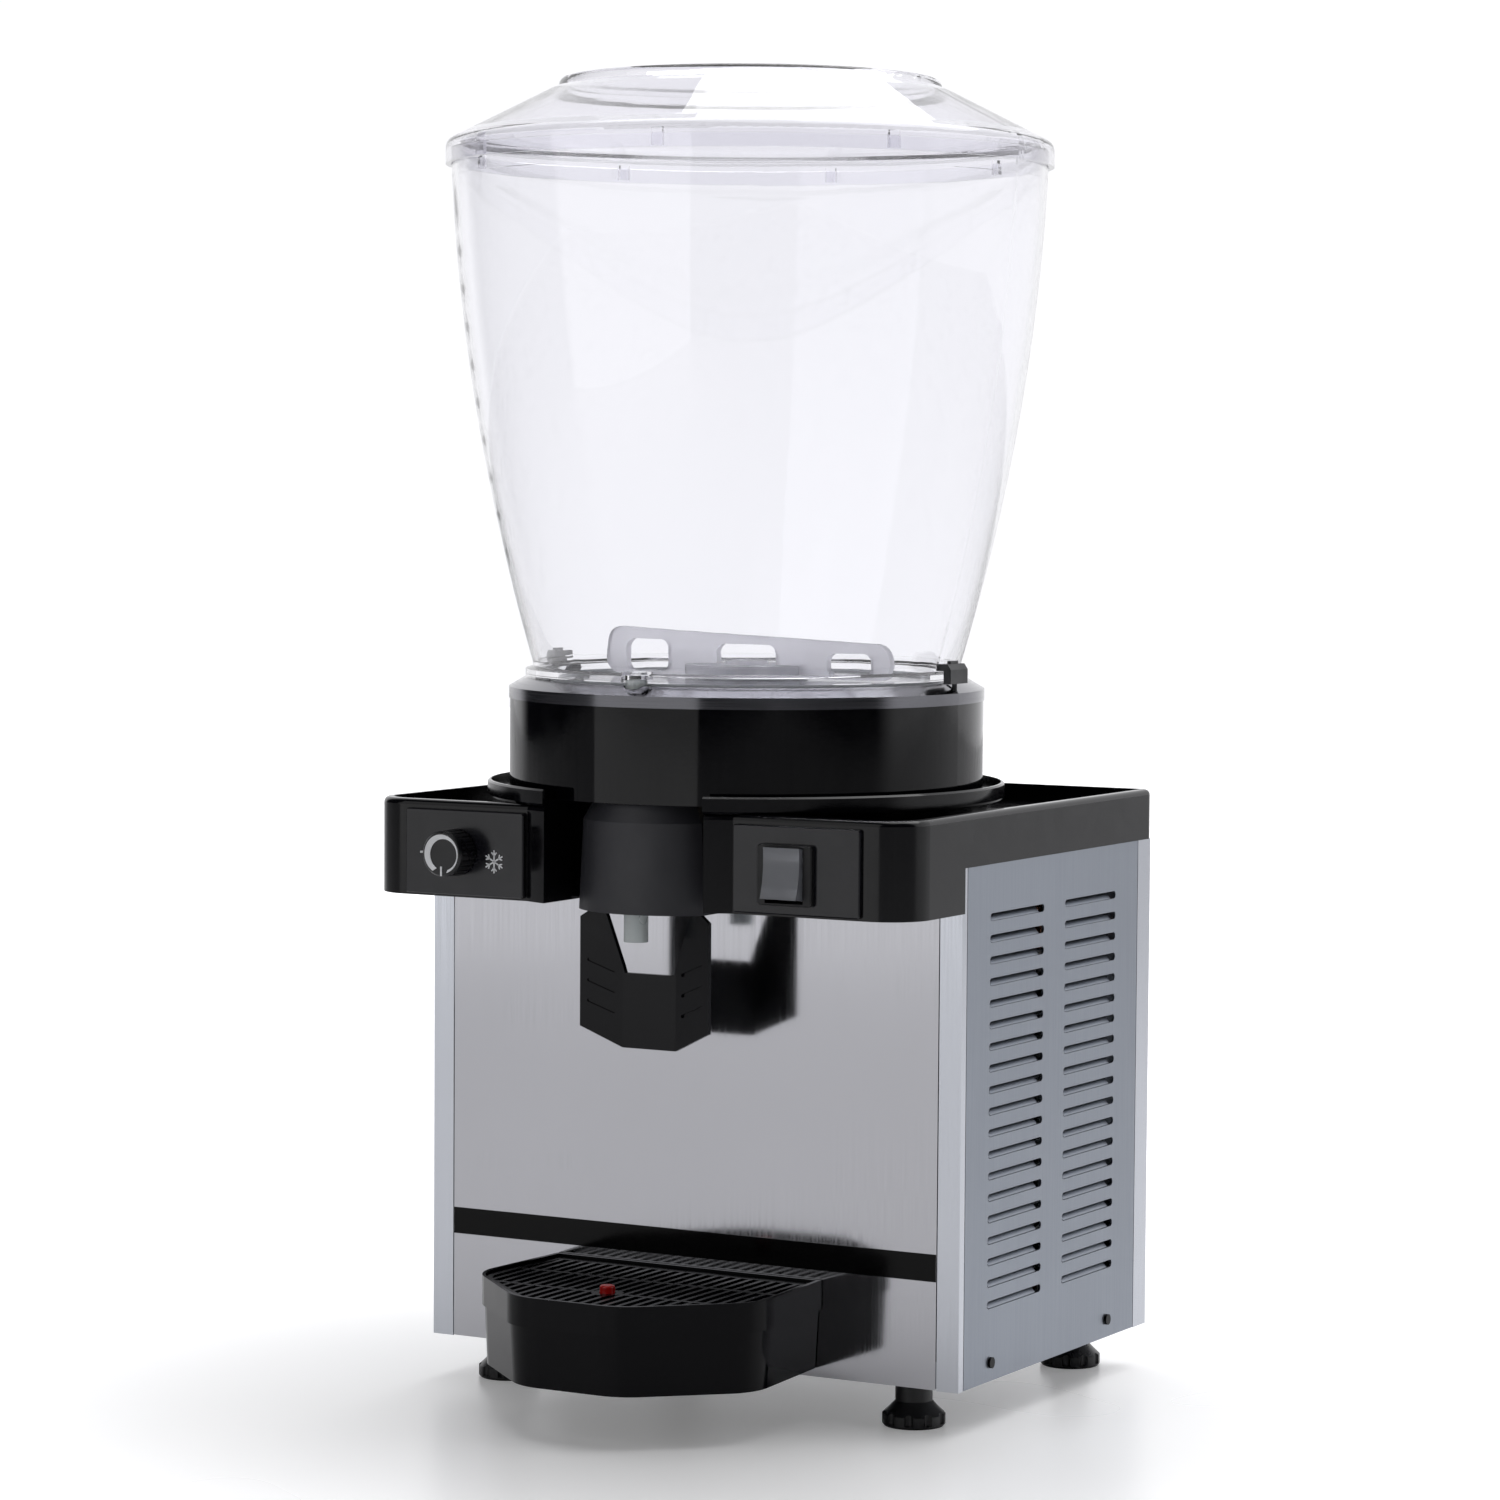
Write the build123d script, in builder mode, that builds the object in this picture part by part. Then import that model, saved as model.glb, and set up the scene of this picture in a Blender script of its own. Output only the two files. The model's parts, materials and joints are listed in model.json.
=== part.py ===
from build123d import *
import os
from math import asin, cos, degrees, pi, radians, sin, sqrt

# Refrigerated cold-drink dispenser: a clear bowl with a stirring paddle stands on a
# cooled plate over a steel cabinet that holds the refrigeration.
# Origin: on the floor, under the middle of the overall footprint. +Z is up, the tap
# faces -Y, and +X is the right side as seen from the front.

os.makedirs("parts", exist_ok=True)

# ---------------------------------------------------------------- driving dimensions
cabinet_width = 330.0
cabinet_depth = 236.5
foot_height = 24.0
front_y = -58.25
tray_reach = 127.0
fascia_reach = 65.0
bowl_axis_behind_front = 61.0

panel_top = 302.0
fascia_bottom = 278.0
deck_top = 320.0
cover_top = 330.0
gutter_floor = 333.0
gutter_lip = 339.0
drum_top = 384.0
plate_top = 395.0
bowl_bottom = 395.6
bowl_rim = 682.0
lid_top = 722.4

drum_radius = 130.4
gutter_radius = 142.5
bulge_radius = 141.0
bowl_foot_radius = 118.0
bowl_mid_radius = 146.6
bowl_rim_radius = 163.0
lid_skirt_radius = 166.4
lid_cap_radius = 104.8

sheet = 1.2
moulding = 3.0
bowl_wall = 3.0
seam = 0.6

# ---------------------------------------------------------------- derived positions
half_width = cabinet_width / 2
back_y = front_y + cabinet_depth
cover_half = half_width + 1.5
cover_back = back_y + 1.5
pod_front = front_y - fascia_reach
plate_front = pod_front - 2.5
axis_y = front_y + bowl_axis_behind_front
notch_half = 49.0
notch_back = front_y - 25.0

tube_y = front_y - 57.0
tube_radius = 6.5
tube_bore = 4.5
nozzle_z = 259.0

pivot_y = front_y - 42.5
pivot_z = 309.0
lever_bottom = 200.0
pin_radius = 2.5
pin_clearance = 0.05

knob_x = -106.4
knob_z = 302.5
knob_radius = 12.6
knob_front = front_y - 83.0
shaft_radius = 3.0

switch_x = 97.0
switch_z = 300.0

foot_x = 128.0
foot_front_y = front_y + 21.0
foot_rear_y = back_y - 21.0
stud_radius = 4.0
pan_floor = foot_height + 1.0

coil_half_turns = 10
coil_pitch = 9.0
coil_start = 54.0
coil_tube = 3.0
return_x = -coil_start - coil_half_turns * coil_pitch / 2

slot_rows = 19
slot_pitch = 11.55
slot_top_z = 273.4
slot_length = 65.5
slot_height = 4.2
slot_columns = (front_y + 65.7, front_y + 157.5)


def save(part, name):
    part.label = name
    export_step(part, f"parts/{name}.step")


# ================================================================ cabinet
def ell(corner_x, corner_y, leg_x, leg_y, wall):
    """Plan outline of an L section with its outer corner at (corner_x, corner_y)."""
    return Polyline(
        (corner_x, corner_y),
        (corner_x + leg_x, corner_y),
        (corner_x + leg_x, corner_y + wall * (1 if leg_y > 0 else -1)),
        (corner_x + wall * (1 if leg_x > 0 else -1), corner_y + wall * (1 if leg_y > 0 else -1)),
        (corner_x + wall * (1 if leg_x > 0 else -1), corner_y + leg_y),
        (corner_x, corner_y + leg_y),
        close=True,
    )


post_leg = 13.0
front_post_leg = 5.5
rear_post_leg = 16.5

with BuildPart() as corner_posts:
    with BuildSketch(Plane.XY.offset(foot_height)):
        for side in (-1, 1):
            for corner_y, leg in ((front_y, front_post_leg), (back_y, -rear_post_leg)):
                with BuildLine():
                    ell(side * half_width, corner_y, -side * post_leg, leg, sheet)
                make_face()
    extrude(amount=panel_top - foot_height)

pan_half = half_width - sheet
pan_front = front_y + sheet
pan_back = back_y - sheet
pan_flange = 14.0

screw_z = 34.3
screw_ys = (front_y + 37.7, front_y + 184.2)
rear_screw_x = 125.0
with BuildPart() as base_pan:
    with BuildSketch(Plane.XY.offset(pan_floor)):
        with Locations((0, (pan_front + pan_back) / 2)):
            Rectangle(2 * pan_half, pan_back - pan_front)
    extrude(amount=pan_flange)
    with BuildSketch(Plane.XY.offset(pan_floor + sheet)):
        with Locations((0, (pan_front + pan_back) / 2)):
            Rectangle(2 * (pan_half - sheet), pan_back - pan_front - 2 * sheet)
    extrude(amount=pan_flange, mode=Mode.SUBTRACT)
    with BuildSketch(Plane.XY.offset(pan_floor)):
        with Locations(*[(sx * foot_x, y) for sx in (-1, 1) for y in (foot_front_y, foot_rear_y)]):
            Circle(stud_radius + 0.5)
        with Locations((30, 75)):
            with GridLocations(0, 14, 1, 5):
                SlotOverall(70, 5)
    extrude(amount=sheet, mode=Mode.SUBTRACT)
    with BuildSketch(Plane.YZ.offset(-half_width)):
        with Locations(*[(y, screw_z) for y in screw_ys]):
            Circle(2.0)
    extrude(amount=2 * half_width, mode=Mode.SUBTRACT)
    with BuildSketch(Plane.XZ.offset(-back_y)):
        with Locations((-rear_screw_x, screw_z), (rear_screw_x, screw_z)):
            Circle(2.0)
    extrude(amount=10, mode=Mode.SUBTRACT)

front_panel_half = half_width - post_leg - seam
with BuildPart() as front_panel:
    with BuildSketch(Plane.XZ.offset(-front_y)):
        with Locations((0, (foot_height + panel_top) / 2)):
            Rectangle(2 * front_panel_half, panel_top - foot_height - seam)
        with Locations((-50, 56), (50, 56)):
            Circle(2.1, mode=Mode.SUBTRACT)
    extrude(amount=-sheet)

stripe_low = 82.0
stripe_high = 96.6
with BuildPart() as front_stripe:
    with BuildSketch(Plane.XZ.offset(-front_y)):
        with Locations((0, (stripe_low + stripe_high) / 2)):
            Rectangle(2 * front_panel_half - 0.6, stripe_high - stripe_low)
    extrude(amount=0.4)

panel_front = front_y + front_post_leg + seam
panel_back = back_y - rear_post_leg - seam


def side_panel(side):
    """Louvred side sheet; the lips are pressed inward under each slot."""
    middle_y = (panel_front + panel_back) / 2
    middle_z = (foot_height + panel_top) / 2
    rows_z = slot_top_z - (slot_rows - 1) * slot_pitch / 2
    columns_y = sum(slot_columns) / 2
    column_gap = slot_columns[1] - slot_columns[0]
    outer = Plane(origin=(side * half_width, 0, 0), x_dir=(0, 1, 0), z_dir=(1, 0, 0))
    inner_x = side * (half_width - sheet)
    with BuildPart() as panel:
        with BuildSketch(outer):
            with Locations((middle_y, middle_z)):
                Rectangle(panel_back - panel_front, panel_top - foot_height - seam)
            with Locations((columns_y, rows_z)):
                with GridLocations(column_gap, slot_pitch, 2, slot_rows):
                    SlotOverall(slot_length, slot_height, mode=Mode.SUBTRACT)
            with Locations(*[(y, screw_z) for y in screw_ys]):
                Circle(2.0, mode=Mode.SUBTRACT)
        extrude(amount=-side * sheet)
        with BuildSketch(Plane.XZ.offset(-(columns_y - slot_length / 2 + 4)), mode=Mode.PRIVATE) as lip:
            with BuildLine():
                Polyline(
                    (inner_x, -slot_height / 2),
                    (inner_x, -slot_height / 2 - 1.4),
                    (inner_x - side * 4.0, 1.9),
                    (inner_x - side * 4.0, 2.9),
                    close=True,
                )
            make_face()
        single = extrude(lip.sketch, amount=-(slot_length - 8), mode=Mode.PRIVATE)
        spots = GridLocations(column_gap, slot_pitch, 2, slot_rows)
        add([Pos(0, spot.position.X, rows_z + spot.position.Y) * single for spot in spots])
    return panel.part


save(side_panel(-1), "side_panel_left")
save(side_panel(1), "side_panel_right")

gland_x = -110.0
gland_z = 62.0
gland_radius = 8.0
with BuildPart() as rear_panel:
    with BuildSketch(Plane.XZ.offset(-back_y)):
        with Locations((0, (foot_height + panel_top) / 2)):
            Rectangle(2 * front_panel_half, panel_top - foot_height - seam)
        with Locations((0, 185)):
            with GridLocations(76, slot_pitch, 3, 14):
                SlotOverall(slot_length, slot_height, mode=Mode.SUBTRACT)
        with Locations((gland_x, gland_z)):
            Circle(gland_radius, mode=Mode.SUBTRACT)
        with Locations((-rear_screw_x, screw_z), (rear_screw_x, screw_z)):
            Circle(2.0, mode=Mode.SUBTRACT)
    extrude(amount=sheet)

# screws: pan heads on the two sides and the back
with BuildPart() as cabinet_screws:
    for side in (-1, 1):
        for y in screw_ys:
            with BuildSketch(Plane(origin=(side * half_width, y, screw_z), z_dir=(side, 0, 0))):
                Circle(3.0)
            extrude(amount=1.4)
            with BuildSketch(Plane(origin=(side * half_width, y, screw_z), z_dir=(side, 0, 0))):
                Circle(2.0)
            extrude(amount=-6)
    with BuildSketch(Plane.XZ.offset(-back_y)):
        with Locations((-rear_screw_x, screw_z), (rear_screw_x, screw_z)):
            Circle(3.0)
    extrude(amount=-1.4)
    with BuildSketch(Plane.XZ.offset(-back_y)):
        with Locations((-rear_screw_x, screw_z), (rear_screw_x, screw_z)):
            Circle(2.0)
    extrude(amount=6)

# ================================================================ feet
foot_spots = {
    "foot_front_left": (-foot_x, foot_front_y),
    "foot_front_right": (foot_x, foot_front_y),
    "foot_rear_left": (-foot_x, foot_rear_y),
    "foot_rear_right": (foot_x, foot_rear_y),
}
foot_radius = 17.0
neck_radius = 10.0
foot_lobes = 10
lobe_radius = 2.6


def foot(x, y):
    """Adjustable foot: scalloped disc, flared neck and a threaded stud."""
    with BuildPart() as shape:
        with BuildSketch(Plane.XZ):
            with BuildLine():
                Line((0, 0), (foot_radius - 1.0, 0))
                Line((foot_radius - 1.0, 0), (foot_radius, 1.2))
                Line((foot_radius, 1.2), (foot_radius, 6.5))
                ThreePointArc((foot_radius, 6.5), (13.6, 9.6), (neck_radius, 13.5))
                Line((neck_radius, 13.5), (neck_radius, foot_height - 0.5))
                Line((neck_radius, foot_height - 0.5), (0, foot_height - 0.5))
                Line((0, foot_height - 0.5), (0, 0))
            make_face()
        revolve(axis=Axis.Z)
        with BuildSketch(Plane.XY.offset(1.6)):
            with PolarLocations(foot_radius + 1.0, foot_lobes):
                Circle(lobe_radius)
        extrude(amount=12, mode=Mode.SUBTRACT)
        with BuildSketch(Plane.XY.offset(foot_height - 0.5)):
            Circle(stud_radius)
        extrude(amount=24)
    return Pos(x, y, 0) * shape.part


for name, (x, y) in foot_spots.items():
    save(foot(x, y), name)

nut_height = 8.0
with BuildPart() as foot_nuts:
    with BuildSketch(Plane.XY.offset(pan_floor + sheet)):
        with Locations(*foot_spots.values()):
            RegularPolygon(7.5, 6)
            Circle(stud_radius + pin_clearance, mode=Mode.SUBTRACT)
    extrude(amount=nut_height)

# ================================================================ top cover and fascia
def cover_outline(inset, notch=True):
    """Plan of the top moulding: cabinet top, two pods, round bulge and tap notch."""
    pod_corner = 24.0 - inset
    rear_corner = 8.0 - inset
    edge = cover_half - inset
    with BuildSketch() as outline:
        with Locations((0, (pod_front + cover_back) / 2)):
            Rectangle(2 * edge, cover_back - pod_front - 2 * inset)
        fillet(outline.vertices().group_by(Axis.Y)[0], pod_corner)
        fillet(outline.vertices().group_by(Axis.Y)[-1], max(rear_corner, 1.0))
        with Locations((0, axis_y)):
            Circle(bulge_radius - inset)
        if notch:
            with Locations((0, notch_back + inset)):
                Rectangle(2 * (notch_half + inset), 120, align=(Align.CENTER, Align.MAX), mode=Mode.SUBTRACT)
    return outline.sketch


with BuildPart() as top_cover:
    with BuildSketch(Plane.XY.offset(fascia_bottom)):
        add(cover_outline(0, notch=False))
    extrude(amount=cover_top - fascia_bottom)
    fillet(top_cover.edges().group_by(Axis.Z)[-1], 3.0)
    with BuildSketch(Plane.XY.offset(fascia_bottom)):
        with Locations((0, notch_back)):
            Rectangle(2 * notch_half, 120, align=(Align.CENTER, Align.MAX))
    extrude(amount=cover_top - fascia_bottom, mode=Mode.SUBTRACT)
    with BuildSketch(Plane.XY.offset(fascia_bottom)):
        with Locations((0, front_y)):
            Rectangle(400, 300, align=(Align.CENTER, Align.MIN))
    extrude(amount=panel_top - fascia_bottom, mode=Mode.SUBTRACT)
    with BuildSketch(Plane.XY.offset(fascia_bottom)):
        add(cover_outline(moulding))
    extrude(amount=deck_top - moulding - fascia_bottom, mode=Mode.SUBTRACT)
    with BuildSketch(Plane.XY.offset(deck_top)):
        add(cover_outline(5.5))
    extrude(amount=cover_top - deck_top, mode=Mode.SUBTRACT)
    with BuildSketch(Plane.XY.offset(deck_top - moulding)):
        with Locations((0, axis_y)):
            Circle(66)
        with Locations((return_x, axis_y)):
            Circle(4)
    extrude(amount=moulding, mode=Mode.SUBTRACT)
    with BuildSketch(Plane.XZ.offset(-pod_front)):
        with Locations((knob_x, knob_z)):
            Circle(5)
        with Locations((switch_x, switch_z)):
            Rectangle(26, 31)
    extrude(amount=-moulding, mode=Mode.SUBTRACT)

with BuildPart() as fascia_underplate:
    with BuildSketch(Plane.XY.offset(fascia_bottom + 0.6)):
        add(cover_outline(moulding + 0.3))
        with Locations((0, front_y - 0.6)):
            Rectangle(400, 300, align=(Align.CENTER, Align.MIN), mode=Mode.SUBTRACT)
    extrude(amount=2)

# raised control plates on the two pods
plate_inner = 64.5
plate_outer = 139.5
plate_low = fascia_bottom + 1.2
plate_high = 325.3


def control_plate(side, cutout):
    with BuildPart() as plate:
        with BuildSketch(Plane.XZ.offset(-pod_front)):
            with Locations((side * (plate_inner + plate_outer) / 2, (plate_low + plate_high) / 2)):
                RectangleRounded(plate_outer - plate_inner, plate_high - plate_low, 1.5)
            add(cutout, mode=Mode.SUBTRACT)
        extrude(amount=pod_front - plate_front)
        chamfer(plate.faces().sort_by(Axis.Y)[0].outer_wire().edges(), 0.6)
    return plate.part


with BuildSketch() as shaft_hole:
    with Locations((knob_x, knob_z)):
        Circle(shaft_radius + 1.5)
with BuildSketch() as switch_hole:
    with Locations((switch_x, switch_z)):
        Rectangle(26, 31)
save(control_plate(-1, shaft_hole.sketch), "thermostat_plate")
save(control_plate(1, switch_hole.sketch), "switch_plate")

# ================================================================ thermostat
with BuildPart() as thermostat_body:
    with BuildSketch(Plane.XZ.offset(-(pod_front + moulding))):
        with Locations((knob_x, knob_z)):
            Rectangle(32, 24)
            Circle(shaft_radius + pin_clearance, mode=Mode.SUBTRACT)
    extrude(amount=-22)
    with BuildSketch(Plane.XZ.offset(-(pod_front + moulding + 22))):
        with Locations((knob_x, knob_z)):
            Rectangle(26, 18)
    extrude(amount=-6)

shaft_back = pod_front + moulding + 21.0
with BuildPart() as thermostat_shaft:
    with BuildSketch(Plane.XZ.offset(-shaft_back)):
        with Locations((knob_x, knob_z)):
            Circle(shaft_radius)
    extrude(amount=shaft_back - (knob_front + 3.0))

knob_back = plate_front - 0.8
with BuildPart() as thermostat_knob:
    with BuildSketch(Plane.XY.offset(knob_z)):
        with BuildLine():
            Polyline(
                (knob_x, knob_back),
                (knob_x + knob_radius, knob_back),
                (knob_x + knob_radius - 0.3, knob_front + 0.9),
                (knob_x + knob_radius - 1.2, knob_front),
                (knob_x, knob_front),
                close=True,
            )
        make_face()
    revolve(axis=Axis((knob_x, 0, knob_z), (0, 1, 0)))
    with BuildSketch(Plane.XZ.offset(-knob_back)):
        with Locations((knob_x, knob_z)):
            Circle(shaft_radius)
    extrude(amount=knob_back - (knob_front + 3.0), mode=Mode.SUBTRACT)
    with BuildSketch(Plane.XZ.offset(-knob_back)):
        with Locations((knob_x, knob_z)):
            with PolarLocations(knob_radius + 0.6, 24):
                Circle(1.1)
    extrude(amount=knob_back - knob_front - 2.5, mode=Mode.SUBTRACT)

# ================================================================ switch
bezel_size = 32.0
bezel_front = plate_front - 3.5
window_w = 22.6
window_h = 29.4
rocker_y = plate_front + 2.0
rocker_tilt = 7.0
pocket_back = rocker_y + 9.0

with BuildPart() as switch_body:
    with BuildSketch(Plane.XZ.offset(-plate_front)):
        with Locations((switch_x, switch_z)):
            RectangleRounded(bezel_size, bezel_size, 2.0)
    extrude(amount=plate_front - bezel_front)
    chamfer(switch_body.faces().sort_by(Axis.Y)[0].edges(), 0.7)
    with BuildSketch(Plane.XZ.offset(-plate_front)):
        with Locations((switch_x, switch_z)):
            Rectangle(25.6, 30.6)
    extrude(amount=-26)
    with BuildSketch(Plane.XZ.offset(-bezel_front)):
        with Locations((switch_x, switch_z)):
            Rectangle(window_w, window_h)
    extrude(amount=-(pocket_back - bezel_front), mode=Mode.SUBTRACT)
    with BuildSketch(Plane.YZ.offset(switch_x - 12.6)):
        with Locations((rocker_y, switch_z)):
            Circle(1.5 + pin_clearance)
    extrude(amount=25.2, mode=Mode.SUBTRACT)
    for blade_z in (-8, 0, 8):
        with BuildSketch(Plane.XZ.offset(-(plate_front + 26))):
            with Locations((switch_x, switch_z + blade_z)):
                Rectangle(6.3, 0.8)
        extrude(amount=-8)

rocker_front = rocker_y - 10.5
with BuildPart() as switch_rocker_level:
    with BuildSketch(Plane.YZ.offset(switch_x - 10.6)):
        with BuildLine():
            Polyline((rocker_y + 5, -8), (rocker_y - 3, -13.4), (rocker_front, -13.4))
            ThreePointArc((rocker_front, -13.4), (rocker_front + 1.6, 0), (rocker_front, 13.4))
            Polyline((rocker_front, 13.4), (rocker_y - 3, 13.4), (rocker_y + 5, 8), (rocker_y + 5, -8))
        make_face()
    extrude(amount=21.2)
    with BuildSketch(Plane.YZ.offset(switch_x - 12.3)):
        with Locations((rocker_y, 0)):
            Circle(1.5)
    extrude(amount=24.6)
rocker_hinge = Axis((switch_x, rocker_y, 0), (1, 0, 0))
save(Pos(0, 0, switch_z) * switch_rocker_level.part.rotate(rocker_hinge, -rocker_tilt), "switch_rocker")

# ================================================================ drum, gutter and cooled plate
catch_pin = 1.4
catch_pin_x = 128.2
catch_travel = 3.6

with BuildPart() as drip_gutter:
    with BuildSketch(Plane.XZ) as gutter_profile:
        with BuildLine():
            Polyline(
                (96, cover_top),
                (gutter_radius - 1.2, cover_top),
                (gutter_radius, cover_top + 1.2),
                (gutter_radius, gutter_lip - 1),
                (gutter_radius - 1, gutter_lip),
                (gutter_radius - 2, gutter_lip),
                (gutter_radius - 2.5, gutter_floor),
                (96, gutter_floor),
                close=True,
            )
        make_face()
        with Locations((131.6, deck_top)):
            Rectangle(2.6, cover_top - deck_top, align=(Align.CENTER, Align.MIN))
    revolve(axis=Axis.Z)
    with BuildSketch(Plane.XY.offset(deck_top)):
        with Locations((0, notch_back - axis_y + 5.6)):
            Rectangle(2 * notch_half + 11.2, 120, align=(Align.CENTER, Align.MAX))
    extrude(amount=cover_top - deck_top, mode=Mode.SUBTRACT)
    with BuildSketch(Plane.XY.offset(cover_top)):
        with Locations((0, notch_back - axis_y)):
            Rectangle(2 * notch_half, 120, align=(Align.CENTER, Align.MAX))
        with Locations((return_x, 0)):
            Circle(4)
    extrude(amount=gutter_lip - cover_top, mode=Mode.SUBTRACT)
save(Pos(0, axis_y, 0) * drip_gutter.part, "drip_gutter")

with BuildPart() as drum_shell:
    with BuildSketch(Plane.XY.offset(gutter_floor)):
        with Locations((0, axis_y)):
            Circle(drum_radius)
            Circle(drum_radius - 2.4, mode=Mode.SUBTRACT)
    extrude(amount=drum_top - gutter_floor)

plate_sheet = 1.6
hub_pin = 4.0
hub_pin_top = 403.0
with BuildPart() as cooling_plate:
    with BuildSketch(Plane.XZ):
        with BuildLine():
            Polyline(
                (0, plate_top - plate_sheet),
                (122.2, plate_top - plate_sheet),
                (drum_radius - 1.1, 389.6),
                (drum_radius - 1.1, drum_top),
                (drum_radius + 0.5, drum_top),
                (drum_radius + 0.5, 390.2),
                (122.8, plate_top),
                (hub_pin, plate_top),
                (hub_pin, hub_pin_top - 1),
                (hub_pin - 1, hub_pin_top),
                (0, hub_pin_top),
                close=True,
            )
        make_face()
    revolve(axis=Axis.Z)
    with BuildSketch(Plane.XY.offset(plate_top - 6)):
        with Locations((0, tube_y - axis_y)):
            Circle(tube_radius + 1.2)
    extrude(amount=8, mode=Mode.SUBTRACT)
    with BuildSketch(Plane.XY.offset(drum_top)):
        for side in (-1, 1):
            with Locations((side * (catch_pin_x - catch_travel / 2), 0)):
                SlotCenterToCenter(catch_travel, 2 * catch_pin + 0.8)
    extrude(amount=12, mode=Mode.SUBTRACT)
save(Pos(0, axis_y, 0) * cooling_plate.part, "cooling_plate")

with BuildPart() as insulation:
    with BuildSketch(Plane.XY.offset(gutter_floor)):
        with Locations((0, axis_y)):
            Circle(106)
            Circle(76, mode=Mode.SUBTRACT)
        with Locations((return_x, axis_y)):
            Circle(4, mode=Mode.SUBTRACT)
    extrude(amount=46)

coil_z = plate_top - plate_sheet - coil_tube - 0.2
with BuildPart() as evaporator_coil:
    with BuildLine(Plane.XY.offset(coil_z)) as coil_path:
        start_x = -coil_start
        for half_turn in range(coil_half_turns):
            facing = 1 if half_turn % 2 == 0 else -1
            end_x = facing * (coil_start + (half_turn + 1) * coil_pitch / 2)
            bow = abs(end_x - start_x) / 2
            ThreePointArc((start_x, axis_y), ((start_x + end_x) / 2, axis_y + facing * bow), (end_x, axis_y))
            start_x = end_x
    with BuildSketch(Plane(origin=(-coil_start, axis_y, coil_z), z_dir=(0, 1, 0))):
        Circle(coil_tube)
    sweep()

# ================================================================ stirring drive
motor_floor = deck_top
with BuildPart() as motor_bracket:
    with BuildSketch(Plane.XY.offset(motor_floor)):
        with Locations((0, axis_y)):
            Circle(74)
            Circle(14, mode=Mode.SUBTRACT)
            with PolarLocations(52, 6):
                Circle(12, mode=Mode.SUBTRACT)
    extrude(amount=2)

motor_top = 366.0
with BuildPart() as gear_motor:
    with BuildSketch(Plane.XY.offset(motor_floor + 2)):
        with Locations((0, axis_y)):
            Circle(32)
    extrude(amount=26)
    with BuildSketch(Plane.XY.offset(motor_floor + 28)):
        with Locations((0, axis_y)):
            RectangleRounded(56, 46, 6)
    extrude(amount=motor_top - motor_floor - 28)
    with BuildSketch(Plane.XY.offset(motor_top - 12)):
        with Locations((0, axis_y)):
            Circle(shaft_radius + pin_clearance)
    extrude(amount=12, mode=Mode.SUBTRACT)

with BuildPart() as drive_rotor:
    with BuildSketch(Plane.XY.offset(motor_top + 8)):
        with Locations((0, axis_y)):
            Circle(40)
    extrude(amount=10)
    with BuildSketch(Plane.XY.offset(motor_top + 12)):
        with Locations((0, axis_y)):
            with PolarLocations(28, 4):
                Circle(8)
    extrude(amount=6, mode=Mode.SUBTRACT)
    with BuildSketch(Plane.XY.offset(motor_top - 10)):
        with Locations((0, axis_y)):
            Circle(shaft_radius)
    extrude(amount=18)

with BuildPart() as rotor_magnets:
    with BuildSketch(Plane.XY.offset(motor_top + 12)):
        with Locations((0, axis_y)):
            with PolarLocations(28, 4):
                Circle(8)
    extrude(amount=6)

# ================================================================ paddle
paddle_low = plate_top + 0.8
blade_thickness = 5.0
hub_radius = 12.0
hub_top = 405.0
blade_face = axis_y - blade_thickness / 2
with BuildPart() as paddle:
    with BuildSketch(Plane.XZ.offset(-blade_face)) as blade:
        with BuildLine():
            Polyline(
                (-90, paddle_low),
                (-88, 422.2),
                (88, 415.4),
                (92, paddle_low),
                close=True,
            )
        make_face()
        fillet(blade.vertices().group_by(Axis.Z)[-2:][0] + blade.vertices().group_by(Axis.Z)[-1], 9)
        with Locations((-62.3, 406.4)):
            RectangleRounded(27, 18, 5, mode=Mode.SUBTRACT)
        with Locations((1.0, 405.6)):
            RectangleRounded(37, 16.4, 5, mode=Mode.SUBTRACT)
        with Locations((64.8, 403.8)):
            RectangleRounded(27, 12.8, 5, mode=Mode.SUBTRACT)
    extrude(amount=-blade_thickness)
    with BuildSketch(Plane.XY.offset(paddle_low)):
        with Locations((0, axis_y)):
            Circle(34)
    extrude(amount=7)
    with BuildSketch(Plane.XY.offset(paddle_low + 7)):
        with Locations((0, axis_y)):
            Circle(hub_radius)
    extrude(amount=hub_top - paddle_low - 7, taper=8)
    with BuildSketch(Plane.XY.offset(paddle_low)):
        with Locations((0, axis_y)):
            with PolarLocations(24, 4):
                Circle(6)
    extrude(amount=5, mode=Mode.SUBTRACT)
    with BuildSketch(Plane.XY.offset(paddle_low)):
        with Locations((0, axis_y)):
            Circle(hub_pin + pin_clearance)
    extrude(amount=hub_pin_top + 0.4 - paddle_low, mode=Mode.SUBTRACT)

with BuildPart() as paddle_magnets:
    with BuildSketch(Plane.XY.offset(paddle_low + 0.4)):
        with Locations((0, axis_y)):
            with PolarLocations(24, 4):
                Circle(6)
    extrude(amount=4.6)

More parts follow.
